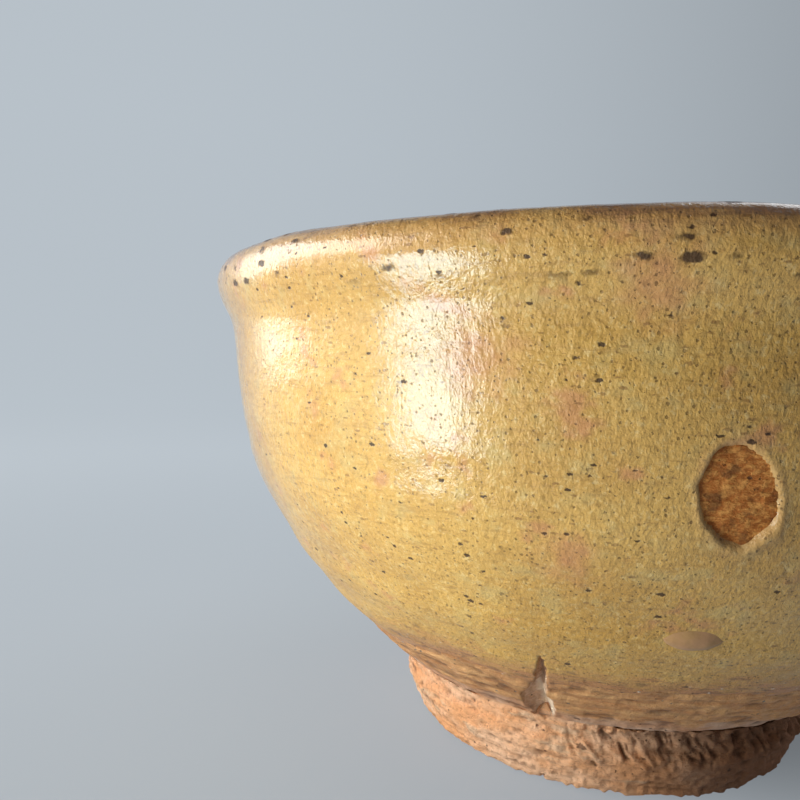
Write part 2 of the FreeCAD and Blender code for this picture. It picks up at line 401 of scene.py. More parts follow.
def grid(outline, theta, s, height, marks=None):
    """Rings of points on an outline, and the values of each mark function at them."""
    tt, ss = np.meshgrid(theta, s)
    r, z, _, _ = outline.at(ss)
    p = np.stack([r * np.cos(tt), r * np.sin(tt), z], -1)
    values = {key: fn(tt, r, z, p) for key, fn in (marks or {}).items()}
    return skin_points(outline, tt, ss, height), values


# ---- what each piece's height and marks are

UNDER_LINE = -0.45  # where the glaze's surface runs, hidden in the clay, below its own line
UNDER_MARK = -0.5  # the same, behind the finger mark
UNDER_NICK = 0.4  # how far below the nick's torn clay the glaze stays
EDGE_LAYER = [(0.05, (2.0, 2.0, 0.9), 53)]
ROLL = dict(base=0.04, right=0.06, low=0.06, place=0.6, width=0.45)  # the bead round the mark
MARK_CUT = 0.35  # the glaze drops away this close to the mark's edge
RIDGE_HEIGHT, RIDGE_PITCH = 0.16, 6.5
# azimuth, height and width of the rusty patches that can be told apart in the photograph
BLUSHES = [(-86.2, 64.5, 3.0), (-101.0, 57.5, 3.2), (-93.0, 38.0, 2.2)]


def outer_height(theta, r, z, p):
    """The outer glaze's skin: thick above its line, gone in the finger mark and the nick."""
    clay = clay_relief(theta, r, z, p)
    above = z - glaze_line(theta, p)
    body = GLAZE + glaze_relief(theta, z, p)
    h = UNDER_LINE + (body - UNDER_LINE) * smoothstep(-4.5, 3.5, above) ** 0.8
    h = h + layered(p, EDGE_LAYER) * smoothstep(4.0, 0.0, above)
    bare = mark_edge(theta, r, z, p)
    side = across(theta, MARK["azimuth"], r)
    low = 1 - smoothstep(-3.5, 2.5, z - MARK["height"])
    roll = ROLL["base"] + ROLL["right"] * smoothstep(-1, 3, side) + ROLL["low"] * low
    h = h + roll * np.exp(-((bare - ROLL["place"]) / ROLL["width"]) ** 2)
    fall = UNDER_MARK + (h - UNDER_MARK) * smoothstep(-0.25, MARK_CUT, bare)
    h = np.where(bare < MARK_CUT, fall, h)
    _, inside = nick_depth(theta, r, z, p)
    return np.where(inside > -0.08, np.minimum(h, clay - UNDER_NICK), h)


def inner_height(theta, r, z, p):
    """The inner glaze's skin, with the spiral ridges that throwing left."""
    ridges = RIDGE_HEIGHT * np.sin(2 * math.pi * (z / RIDGE_PITCH + theta / (2 * math.pi)))
    ridges = ridges * smoothstep(17, 24, z) * smoothstep(62, 52, z)
    return GLAZE + glaze_relief(theta, z, p) * smoothstep(0, 12, r) + ridges


def rim_mark(theta, r, z, p):
    """How near the lip a point is."""
    return smoothstep(63.5, 71.0, z) * (0.80 + 0.20 * noise(p, (6.0, 6.0, 2.5), 91))


def edge_mark(theta, r, z, p):
    """How thin the glaze is towards its lower edge."""
    above = z - glaze_line(theta, p)
    return 1 - smoothstep(-2.5, 5.5, above + 0.9 * noise(p, (3, 3, 1.2), 92))


def halo_mark(theta, r, z, p):
    """The thinner glaze just outside the finger mark."""
    bare = mark_edge(theta, r, z, p)
    return np.exp(-(np.maximum(bare, 0) / 1.0) ** 2)


def blush_mark(theta, r, z, p):
    """Rusty patches that came through the glaze."""
    total = 0.0
    for azimuth, height, width in BLUSHES:
        far = np.hypot(across(theta, azimuth, r), z - height) / width
        total = total + np.exp(-(far + 0.5 * noise(p, 1.4, 94)) ** 2)
    return np.clip(total, 0, 1)


OUTER_MARKS = dict(rim=rim_mark, edge=edge_mark, halo=halo_mark, blush=blush_mark)
INNER_MARKS = dict(rim=rim_mark)

# ---------------------------------------------------------------- materials


class Paint:
    """A node material. Its methods add nodes and return the output to use next."""

    def __init__(self, name):
        self.material = bpy.data.materials.new(name)
        self.material.use_nodes = True
        self.tree = self.material.node_tree
        self.tree.nodes.clear()
        self.shader = self.tree.nodes.new("ShaderNodeBsdfPrincipled")
        out = self.tree.nodes.new("ShaderNodeOutputMaterial")
        self.tree.links.new(self.shader.outputs[0], out.inputs[0])
        coords = self.tree.nodes.new("ShaderNodeTexCoord")
        self.position = self.scaled(coords.outputs["Object"], (1000, 1000, 1000))

    def put(self, socket, value):
        """Links an output to the socket, or sets a constant on it."""
        if isinstance(value, bpy.types.NodeSocket):
            self.tree.links.new(value, socket)
        else:
            socket.default_value = value

    def axes(self):
        """The x, y and z outputs of the position."""
        n = self.tree.nodes.new("ShaderNodeSeparateXYZ")
        self.put(n.inputs[0], self.position)
        return n.outputs

    def scaled(self, vector, factors):
        n = self.tree.nodes.new("ShaderNodeVectorMath")
        n.operation = "MULTIPLY"
        self.put(n.inputs[0], vector)
        n.inputs[1].default_value = factors
        return n.outputs[0]

    def attribute(self, name):
        n = self.tree.nodes.new("ShaderNodeAttribute")
        n.attribute_name = name
        return n.outputs["Fac"]

    def noise(self, size, detail=2.0, squash=(1, 1, 1), shift=0.0, rough=0.55):
        n = self.tree.nodes.new("ShaderNodeTexNoise")
        n.noise_dimensions = "4D"
        n.inputs["W"].default_value = shift
        self.put(n.inputs["Vector"], self.scaled(self.position, squash))
        n.inputs["Scale"].default_value = 1.0 / size
        n.inputs["Detail"].default_value = detail
        n.inputs["Roughness"].default_value = rough
        return n.outputs["Fac"]

    def spots(self, cell, radius, share, squash=(1, 1, 1), soft=0.35):
        """1 inside scattered spots: one per cell in a share of the cells, of varied size."""
        ragged = self.tree.nodes.new("ShaderNodeTexNoise")
        self.put(ragged.inputs["Vector"], self.position)
        ragged.inputs["Scale"].default_value = 0.9 / radius
        add = self.tree.nodes.new("ShaderNodeVectorMath")
        self.put(add.inputs[0], self.scaled(ragged.outputs["Color"], (1.6 * radius,) * 3))
        self.put(add.inputs[1], self.position)
        n = self.tree.nodes.new("ShaderNodeTexVoronoi")
        self.put(n.inputs["Vector"], self.scaled(add.outputs[0], squash))
        n.inputs["Scale"].default_value = 1.0 / cell
        n.inputs["Randomness"].default_value = 1.0
        split = self.tree.nodes.new("ShaderNodeSeparateColor")
        self.put(split.inputs[0], n.outputs["Color"])
        size = self.math("MULTIPLY", split.outputs[0], radius / cell)
        size = self.math("ADD", size, 0.25 * radius / cell)
        chosen = self.math("LESS_THAN", split.outputs[1], share)
        size = self.math("MULTIPLY", size, chosen)
        gap = self.math("SUBTRACT", size, n.outputs["Distance"])
        edge = self.math("DIVIDE", gap, soft * radius / cell)
        return self.math("MINIMUM", self.math("MAXIMUM", edge, 0.0), 1.0)

    def math(self, kind, a, b=0.0):
        n = self.tree.nodes.new("ShaderNodeMath")
        n.operation = kind
        self.put(n.inputs[0], a)
        self.put(n.inputs[1], b)
        return n.outputs[0]

    def span(self, value, a, b, low=0.0, high=1.0):
        """value taken from a..b to low..high, smoothly and held at the ends."""
        n = self.tree.nodes.new("ShaderNodeMapRange")
        n.interpolation_type = "SMOOTHSTEP"
        self.put(n.inputs[0], value)
        for i, v in enumerate((a, b, low, high)):
            n.inputs[i + 1].default_value = v
        return n.outputs[0]

    def mix(self, factor, a, b):
        n = self.tree.nodes.new("ShaderNodeMix")
        n.data_type = "RGBA"
        self.put(n.inputs[0], factor)
        for socket, value in ((n.inputs[6], a), (n.inputs[7], b)):
            self.put(socket, (*value, 1.0) if isinstance(value, tuple) else value)
        return n.outputs[2]

    def bump(self, height, distance, strength=1.0):
        n = self.tree.nodes.new("ShaderNodeBump")
        n.inputs["Strength"].default_value = strength
        n.inputs["Distance"].default_value = distance * MM
        self.put(n.inputs["Height"], height)
        return n.outputs[0]

    def finish(self, colour, roughness, normal, **constants):
        """Sets the shader up; constants are named by its sockets, with _ for a space."""
        self.put(self.shader.inputs["Base Color"], colour)
        self.put(self.shader.inputs["Roughness"], roughness)
        self.put(self.shader.inputs["Normal"], normal)
        for key, value in constants.items():
            self.shader.inputs[key.replace("_", " ")].default_value = value
        return self.material


# The glaze: its body, its grain and clouds, its thin places, the lip and the specks.
OCHRE, DEEP_OCHRE = (0.66, 0.365, 0.085), (0.56, 0.29, 0.058)
CREAM, DARK_GRAIN = (0.80, 0.58, 0.26), (0.34, 0.17, 0.03)
DARK_LINE, MILKY = (0.36, 0.17, 0.035), (0.58, 0.42, 0.16)
BLUSH, HALO = (0.56, 0.21, 0.09), (0.58, 0.33, 0.16)
THIN_GLAZE, SCORED = (0.56, 0.28, 0.08), (0.17, 0.07, 0.03)
LIP, WORN_LIP = (0.60, 0.30, 0.13), (0.24, 0.105, 0.055)
DASH, IRON = (0.22, 0.09, 0.02), (0.045, 0.02, 0.012)
# The clay's scorched band and what lies bare in the finger mark and the nick.
SCORCH, LIGHT_SCORCH, SMOKE = (0.52, 0.225, 0.085), (0.66, 0.34, 0.14), (0.20, 0.085, 0.035)
# The first of these is pale grit, partly painted glints where light sparkles.
GRIT_AND_GLINT, PINK, TAN = (0.88, 0.80, 0.66), (0.62, 0.38, 0.25), (0.56, 0.27, 0.14)
RUST, LIGHT_RUST, DARK_RUST = (0.46, 0.14, 0.028), (0.76, 0.33, 0.085), (0.20, 0.07, 0.02)
# The last of these is painted light for the nick's lit right wall.
TORN, TORN_SHADE, PAINTED_FACET_LIGHT = (0.74, 0.48, 0.31), (0.54, 0.30, 0.17), (0.88, 0.66, 0.47)
# The second of these is painted shade for the bottoms of the band's turning grooves.
CLAY_PIT, CLAY_GROOVE_SHADE = (0.06, 0.03, 0.02), (0.12, 0.05, 0.022)
# The foot ring and the drop.
FOOT_PALE, FOOT_ORANGE, FOOT_SAND = (0.86, 0.50, 0.30), (0.80, 0.37, 0.165), (0.70, 0.48, 0.31)
# The second of these is painted shade, darkening the ring on its right, away from the light.
FOOT_STREAK, FOOT_PAINTED_SHADE = (0.38, 0.16, 0.07), (0.17, 0.07, 0.032)
# The first of these is painted shade for the bottoms of the ring's grooves and chatter.
FOOT_GROOVE_SHADE, FOOT_PIT, FOOT_GRAIN = (0.10, 0.04, 0.018), (0.09, 0.045, 0.03), (0.30, 0.12, 0.055)
DROP_PALE, DROP_DEEP = (0.49, 0.25, 0.115), (0.42, 0.225, 0.085)

BUMP_DEPTH = 0.3  # height of the bump maps
COAT_BUMP, BASE_BUMP = 0.2, 0.7  # the glaze's glassy top is smoother than what lies in it


def glaze_paint(name, outside):
    """Ochre glaze; outside it also thins at its lower edge and round the finger mark."""
    m = Paint(name)
    wide = m.noise(15, 3, shift=1.0)
    colour = m.mix(m.span(wide, 0.36, 0.64), OCHRE, DEEP_OCHRE)
    grain = m.noise(0.7, 4, shift=2.0, rough=0.75)
    colour = m.mix(m.span(grain, 0.52, 0.68, 0, 0.5), colour, CREAM)
    colour = m.mix(m.span(grain, 0.48, 0.32, 0, 0.7), colour, DARK_GRAIN)
    lines = m.noise(1.3, 4, (0.3, 0.3, 2.4), shift=9.0, rough=0.7)
    colour = m.mix(m.span(lines, 0.5, 0.3, 0, 0.5), colour, DARK_LINE)
    cloud = m.noise(3.2, 3, (1, 1, 1.3), shift=3.0)
    colour = m.mix(m.span(cloud, 0.5, 0.72, 0, 0.4), colour, MILKY)
    blush = m.noise(5.5, 3, (1, 1, 1.2), shift=4.0)
    colour = m.mix(m.span(blush, 0.58, 0.70, 0, 0.55), colour, BLUSH)
    gloss = 1.0
    if outside:
        halo, edge = m.attribute("halo"), m.attribute("edge")
        colour = m.mix(m.math("MULTIPLY", halo, 0.5), colour, HALO)
        streak = m.noise(1.1, 4, (0.5, 0.5, 2.0), shift=5.0, rough=0.7)
        worn = m.math("ADD", edge, m.span(streak, 0.3, 0.7, -0.28, 0.28))
        colour = m.mix(m.span(worn, 0.12, 0.62), colour, THIN_GLAZE)
        colour = m.mix(m.span(worn, 0.55, 1.0), colour, SCORCH)
        scratch = m.noise(0.8, 4, (0.3, 0.3, 2.2), shift=10.0, rough=0.75)
        scored = m.math("MULTIPLY", m.span(scratch, 0.5, 0.36), m.span(worn, 0.3, 0.8, 0, 0.75))
        colour = m.mix(scored, colour, SCORED)
        # pale grit specks on the thin lower edge, partly painted glints
        grit = m.math("MULTIPLY", m.spots(1.1, 0.17, 0.5), m.span(worn, 0.4, 0.8))
        colour = m.mix(grit, colour, GRIT_AND_GLINT)
        gloss = m.span(worn, 0.15, 0.6, 1.0, 0.05)
        gloss = m.math("MULTIPLY", gloss, m.span(halo, 0.0, 1.0, 1.0, 0.3))
        gloss = m.math("MULTIPLY", gloss, m.span(m.axes()[2], 22.0, 42.0, 0.2, 1.0))
        colour = m.mix(m.math("MULTIPLY", m.attribute("blush"), 0.6), colour, BLUSH)
    rim = m.attribute("rim")
    colour = m.mix(m.span(rim, 0.2, 0.7, 0, 0.3), colour, LIP)
    worn_rim = m.math("ADD", rim, m.span(lines, 0.3, 0.7, -0.12, 0.12))
    colour = m.mix(m.span(worn_rim, 0.62, 1.0, 0, 0.8), colour, WORN_LIP)
    dashes = m.spots(1.0, 0.24, 0.5, (0.55, 0.55, 1.5))
    colour = m.mix(m.math("MULTIPLY", dashes, 0.6), colour, DASH)
    pits = m.spots(0.55, 0.14, 0.8)
    specks = m.spots(1.5, 0.27, 0.55, (0.7, 0.7, 1.3))
    blots = m.spots(2.1, 0.64, 0.95, (0.6, 0.6, 1.3), 0.45)
    crowded = m.span(rim, 0.0, 0.25)
    if outside:
        low_edge = m.math("MULTIPLY", m.span(edge, 0.02, 0.4), 0.35)
        crowded = m.math("MAXIMUM", crowded, low_edge)
    big = m.math("MULTIPLY", blots, m.span(crowded, 0.0, 0.8, 0.05, 1.0))
    dark = m.math("MAXIMUM", m.math("MAXIMUM", m.math("MULTIPLY", pits, 0.6), specks), big)
    colour = m.mix(m.math("MULTIPLY", dark, 0.9), colour, IRON)
    rough = m.span(m.noise(2.2, 2, shift=6.0), 0.35, 0.7, 0.3, 0.45)
    rough = m.math("MAXIMUM", rough, m.math("MULTIPLY", dark, 0.5))
    fine = m.noise(0.45, 3, (1, 1, 0.75), shift=7.0, rough=0.65)
    mid = m.noise(1.1, 2, (1, 1, 0.55), shift=8.0)
    height = m.math("ADD", fine, m.math("MULTIPLY", mid, 0.8))
    height = m.math("SUBTRACT", height, m.math("MULTIPLY", m.math("MAXIMUM", pits, specks), 0.35))
    gloss = m.math("MULTIPLY", gloss, m.span(dark, 0.1, 0.6, 1.0, 0.15))
    m.put(m.shader.inputs["Coat Weight"], gloss)
    m.put(m.shader.inputs["Coat Normal"], m.bump(height, BUMP_DEPTH, COAT_BUMP))
    return m.finish(colour, rough, m.bump(height, BUMP_DEPTH, BASE_BUMP), IOR=1.38,
                    Coat_Roughness=0.06, Coat_IOR=1.6)


def clay_paint(name):
    """Pale clay, the scorched band, the rusty finger mark and the freshly torn nick, with painted
    light on the nick's lit wall.
    """
    m = Paint(name)
    edge, bare, torn = m.attribute("band"), m.attribute("bare"), m.attribute("torn")
    facet = m.attribute("facet")
    streak = m.noise(1.5, 4, (0.35, 0.35, 2.4), shift=11.0, rough=0.65)
    cloud = m.noise(4.5, 3, (0.7, 0.7, 1.4), shift=12.0)
    band = m.mix(m.span(streak, 0.35, 0.65), SCORCH, LIGHT_SCORCH)
    band = m.mix(m.span(cloud, 0.5, 0.7, 0, 0.5), band, SMOKE)
    # pale grit specks in the band, partly painted glints
    band = m.mix(m.spots(1.1, 0.18, 0.5), band, GRIT_AND_GLINT)
    pink = m.mix(m.span(cloud, 0.35, 0.6), PINK, TAN)
    colour = m.mix(m.span(edge, 0.25, 0.7), pink, band)
    fibre = m.noise(0.75, 4, (1, 1, 1.5), shift=13.0, rough=0.7)
    rust = m.mix(m.span(fibre, 0.42, 0.62), RUST, LIGHT_RUST)
    stain = m.noise(1.6, 3, shift=14.0)
    rust = m.mix(m.span(stain, 0.48, 0.62, 0, 0.8), rust, DARK_RUST)
    colour = m.mix(bare, colour, rust)
    fresh = m.mix(m.span(fibre, 0.35, 0.65), TORN, TORN_SHADE)
    # painted light: the nick's lit right wall painted paler
    fresh = m.mix(facet, fresh, PAINTED_FACET_LIGHT)
    colour = m.mix(torn, colour, fresh)
    pits = m.math("MAXIMUM", m.spots(1.1, 0.2, 0.6), m.spots(2.6, 0.4, 0.4, (0.6, 0.6, 1.3)))
    colour = m.mix(m.math("MULTIPLY", pits, 0.8), colour, CLAY_PIT)
    # painted shade in the bottoms of the band's turning grooves
    colour = m.mix(m.math("MULTIPLY", m.attribute("groove_shade"), 0.7), colour, CLAY_GROOVE_SHADE)
    rough = m.span(m.noise(0.8, 2, shift=15.0), 0.35, 0.65, 0.42, 0.75)
    height = m.math("SUBTRACT", m.math("ADD", fibre, streak), m.math("MULTIPLY", pits, 0.6))
    return m.finish(colour, rough, m.bump(height, BUMP_DEPTH), Specular_IOR_Level=0.25)


def foot_paint(name):
    """Orange and pink bare clay, with painted shade darkening the side away from the light."""
    m = Paint(name)
    low = m.attribute("low")
    cloud = m.noise(5.5, 4, (0.6, 0.6, 1.3), shift=21.0, rough=0.6)
    colour = m.mix(m.span(cloud, 0.36, 0.62), FOOT_PALE, FOOT_ORANGE)
    patch = m.noise(3.0, 3, (0.5, 0.5, 1.5), shift=22.0)
    colour = m.mix(m.span(patch, 0.54, 0.68, 0, 0.7), colour, FOOT_SAND)
    streak = m.noise(1.0, 4, (0.4, 0.4, 2.2), shift=23.0, rough=0.7)
    colour = m.mix(m.span(streak, 0.5, 0.3, 0, 0.5), colour, FOOT_STREAK)
    # painted shade: the ring darker on its right, away from the light
    colour = m.mix(m.math("MULTIPLY", low, 0.92), colour, FOOT_PAINTED_SHADE)
    # painted shade in the bottoms of the grooves and the chatter
    colour = m.mix(m.math("MULTIPLY", m.attribute("groove_shade"), 0.8), colour, FOOT_GROOVE_SHADE)
    pits = m.math("MAXIMUM", m.spots(1.3, 0.2, 0.5), m.spots(3.2, 0.45, 0.3, (0.6, 0.6, 1.4)))
    colour = m.mix(m.math("MULTIPLY", pits, 0.75), colour, FOOT_PIT)
    grain = m.noise(0.45, 4, shift=24.0, rough=0.75)
    colour = m.mix(m.span(grain, 0.5, 0.34, 0, 0.5), colour, FOOT_GRAIN)
    height = m.math("ADD", streak, m.math("MULTIPLY", grain, 1.2))
    height = m.math("SUBTRACT", height, m.math("MULTIPLY", pits, 0.8))
    return m.finish(colour, 0.85, m.bump(height, BUMP_DEPTH), Specular_IOR_Level=0.2)


def drop_paint(name):
    m = Paint(name)
    cloud = m.noise(1.8, 3, shift=31.0)
    colour = m.mix(m.span(cloud, 0.35, 0.65), DROP_PALE, DROP_DEEP)
    height = m.noise(1.0, 2, shift=32.0)
    return m.finish(colour, 0.3, m.bump(height, 0.15, 0.5), IOR=1.5)


# ---------------------------------------------------------------- the pieces

THETA = columns()
# Lengths along the clay's outline: the outer glaze's hidden lower end, the top of the fine mesh of
# the turned band, and the span that holds the finger mark.
LOWER = CLAY.nearest(39.5, 16.2)
FINE_TOP = CLAY.nearest(47.5, 24.8)
PATCH_LOW, PATCH_HIGH = CLAY.nearest(57.5, 39.3), CLAY.nearest(61.0, 51.8)
BACK_WEIGHT = 0.2  # a row of a piece's hidden back gets this little of its UV map


def back_depth(theta, r, z, p):
    """How far inside the clay's skin the hidden back of the outer glaze runs."""
    return -3.5 + 2.4 * smoothstep(26, 34, z)


def closed_weights(s, back_s):
    """Each row's share of the UV map for a front and a hidden back with a seam at either end."""
    return np.concatenate([np.diff(s), [0.3], np.full(len(back_s) - 1, BACK_WEIGHT), [0.3]])


def build_outer_glaze():
    s = rows([(LOWER, PATCH_LOW, 0.56), (PATCH_LOW, PATCH_HIGH, 0.42), (PATCH_HIGH, CREST, 0.56)])
    front, marks = grid(CLAY, THETA, s, outer_height, OUTER_MARKS)
    back_s = np.linspace(CREST, LOWER, 9)
    back, back_marks = grid(CLAY, THETA, back_s, back_depth, OUTER_MARKS)
    rings = np.concatenate([front, back])
    marks = {k: np.concatenate([marks[k], back_marks[k]]) for k in marks}
    weights = closed_weights(s, back_s)
    mesh = sheet_mesh("outer_glaze_skin", rings, weights, 3, loop=True, marks=marks)
    add_piece("outer_glaze_skin", mesh, glaze_paint("ochre_glaze_outside", True),
              ["outer_glaze"])


def build_inner_glaze():
    end = CLAY.length - 0.03  # all but the axis, where the ring of faces closes
    s = rows([(CREST, CREST + 12, 0.6), (CREST + 12, end, 1.15)])
    front, marks = grid(CLAY, THETA, s, inner_height, INNER_MARKS)
    back_s = np.linspace(end, CREST, 12)
    back, back_marks = grid(CLAY, THETA, back_s, lambda *_: -0.7, INNER_MARKS)
    marks = {k: np.concatenate([marks[k], back_marks[k]]) for k in marks}
    rings = np.concatenate([front, back])
    weights = closed_weights(s, back_s)
    mesh = sheet_mesh("inner_glaze_skin", rings, weights, 2, loop=True, marks=marks)
    add_piece("inner_glaze_skin", mesh, glaze_paint("ochre_glaze_inside", False),
              ["inner_glaze"])


# (radius, height) of the clay's underside, from the turned point in the recess to the joint
UNDERSIDE = [(0.6, 6.25), (3.0, 6.4), (6.0, 7.0), (8.0, 7.4), (12.0, 7.4), (16.0, 7.4), (21.0, 7.4),
             (24.0, 7.9), (28.0, 8.9), (32.5, 10.7)]
RECESS_RADIUS = 21.5
RECESS_LAYERS = [(0.12, 2.0, 95), (0.06, 0.9, 96)]
HIDDEN_ROWS = 4  # of the underside, behind the foot ring


def build_clay():
    tt, rr = np.meshgrid(THETA, [q[0] for q in UNDERSIDE])
    zz = np.meshgrid(THETA, [q[1] for q in UNDERSIDE])[1]
    p = np.stack([rr * np.cos(tt), rr * np.sin(tt), zz], -1)
    zz = zz + np.where(rr < RECESS_RADIUS, layered(p, RECESS_LAYERS), 0)
    bottom = settle(tt, rr, zz)
    s = rows([(0.0, FINE_TOP, 0.42), (FINE_TOP, PATCH_LOW, 2.5), (PATCH_LOW, PATCH_HIGH, 0.42),
              (PATCH_HIGH, CREST, 2.0), (CREST, CLAY.length - 0.6, 3.5)])

    def height(theta, r, z, q):
        shown = clay_relief(theta, r, z, q)
        past_crest = np.broadcast_to((s > CREST - 1)[:, None], shown.shape)
        return np.where(past_crest, 0.0, shown)

    def band(theta, r, z, q):
        return smoothstep(11.2, 15.5, z + 0.9 * noise(q, (3.0, 3.0, 1.5), 97))

    def bare(theta, r, z, q):
        return 1 - smoothstep(0.2, 1.2, mark_edge(theta, r, z, q))

    def torn(theta, r, z, q):
        return smoothstep(-0.02, 0.12, nick_depth(theta, r, z, q)[1])

    # Painted shade: 1 in the bottoms of the band's turning grooves, outside the nick.
    def groove_shade(theta, r, z, q):
        return smoothstep(-0.02, -0.2, turned_clay(q)) * (1 - torn(theta, r, z, q)) * (z < BAND_TOP)

    kinds = dict(band=band, bare=bare, torn=torn, facet=nick_facet, groove_shade=groove_shade)
    upper, marks = grid(CLAY, THETA, s, height, kinds)
    rings = np.concatenate([bottom, upper])
    marks = {k: np.concatenate([np.zeros(rr.shape), v]) for k, v in marks.items()}
    shown = np.where(s[:-1] < FINE_TOP, 1.0, 0.03)
    shown = np.where((s[:-1] >= PATCH_LOW) & (s[:-1] < PATCH_HIGH), 1.0, shown)
    seen_rows = len(UNDERSIDE) - HIDDEN_ROWS
    weights = np.concatenate([np.full(seen_rows, 1.2), np.full(HIDDEN_ROWS, 0.1),
                              np.diff(s) * shown])
    mesh = sheet_mesh("clay_body_skin", rings, weights, 3, caps=(True, True), marks=marks)
    add_piece("clay_body_skin", mesh, clay_paint("scorched_clay"), ["clay_body"])


CHATTER_LAYERS = [(0.32, (0.8, 2.2, 1), 101), (0.28, (0.45, 1.1, 1), 107)]
CHATTER_WANDER, CHATTER_EDGE = [(0.5, 1.8, 109)], [(0.6, 4.0, 108)]
GROOVE_LAYERS = [(0.17, (9, 9, 0.8), 102), (0.10, (3, 3, 0.45), 103)]
GRIT_LAYERS = [(0.17, 0.7, 104), (0.16, 2.2, 105)]
RECESS_GRIT = 0.35  # share of the grit that the recess behind the ring has
CHIP_DEPTH, SLIT_DEPTH = 0.6, 0.8
SLIT_AZIMUTH, SLIT_WIDTH = -102.0, 0.25


def foot_relief(theta, r, z, p):
    """The foot ring's rough skin: turning grooves, slanted chatter and grit."""
    outside = smoothstep(27.5, 29.0, r)
    slant = across(theta, -60, r) + 0.6 * z + layered(p, CHATTER_WANDER)
    twist = np.stack([slant, z, np.zeros_like(z)], -1)
    chatter = layered(twist, CHATTER_LAYERS)
    degrees = np.degrees(theta)
    chatter = chatter * smoothstep(-104, -84, degrees) * (1 - smoothstep(-20, 20, degrees))
    chatter = chatter * smoothstep(4.6, 6.4, z + layered(p, CHATTER_EDGE)) * (z < 11.3)
    grit = layered(p, GRIT_LAYERS) * (RECESS_GRIT + (1 - RECESS_GRIT) * outside)
    return (layered(p, GROOVE_LAYERS) + chatter) * outside + grit


def foot_height(theta, r, z, p):
    """The foot ring's skin with its chips, slit and nick, kept off the resting face."""
    h = foot_relief(theta, r, z, p)
    chip = smoothstep(0.35, 0.9, noise(p, (3.0, 3.0, 2.0), 106)) * smoothstep(2.6, 0.4, z)
    h = h - CHIP_DEPTH * chip * smoothstep(26.5, 28.5, r)
    slit = np.exp(-(across(theta, SLIT_AZIMUTH, r) / SLIT_WIDTH) ** 2) * smoothstep(1.3, 0.2, z)
    h = h - SLIT_DEPTH * slit * smoothstep(27.5, 29.0, r)
    cut, _ = nick_depth(theta, r, z, p)
    h = h - cut
    flat = 1 - smoothstep(0.0, 0.5, z)
    return np.where(flat > 0, np.minimum(h, 0.0) * (1 - 0.5 * flat), h)


def foot_painted_shade(theta, r, z, p):
    """Painted shade on the ring: dark on its right, away from the light."""
    return smoothstep(-97, -52, np.degrees(theta)) * (1 - smoothstep(0, 70, np.degrees(theta)))


def foot_groove_shade(theta, r, z, p):
    """Painted shade: 1 in the bottoms of the grooves and the chatter."""
    return smoothstep(-0.06, -0.4, foot_relief(theta, r, z, p))


FOOT_SHIFT = 0.3  # how far the ring's base stands to the right of its joint
# (radius, height) of the ring's hidden back, from the joint in to the recess
FOOT_BACK = np.array([(32.6, 10.9), (28.0, 9.1), (24.0, 8.1)])


def build_foot():
    face = FOOT.nearest(28.2, 0.1)
    s = rows([(0.0, face, 0.7), (face, FOOT.length, 0.3)])
    # low carries the painted shade on the ring's right, the other mark the painted shade in its
    # grooves
    rings, marks = grid(FOOT, THETA, s, foot_height, dict(low=foot_painted_shade, groove_shade=foot_groove_shade))
    rings[..., 0] += (1 - smoothstep(0, 11, rings[..., 2])) * FOOT_SHIFT
    rings[..., 2] = np.maximum(rings[..., 2], 0.0)
    inner_r, inner_z = FOOT_BACK[:, :1], FOOT_BACK[:, 1:]
    back = np.stack([
        inner_r * np.cos(THETA), inner_r * np.sin(THETA), np.repeat(inner_z, len(THETA), 1)], -1)
    rings = np.concatenate([rings, back])
    marks = {k: np.concatenate([v, np.zeros(back.shape[:2])]) for k, v in marks.items()}
    weights = np.concatenate([np.diff(s), np.full(len(FOOT_BACK) + 1, BACK_WEIGHT)])
    mesh = sheet_mesh("foot_ring_skin", rings, weights, 3, loop=True, marks=marks)
    add_piece("foot_ring_skin", mesh, foot_paint("bare_foot_clay"), ["foot_ring"])


DROP = dict(azimuth=-79.1, radius=51.2, height=29.4, half_width=3.0, below=1.3, above=2.08,
            bulge=0.62)
DROP_SUNK, DROP_BACK = 0.12, 0.4  # how far its edge and its back lie under the glaze's skin
DROP_ENDS = 0.985  # the grid stops short of the crescent's tips, where its faces would vanish


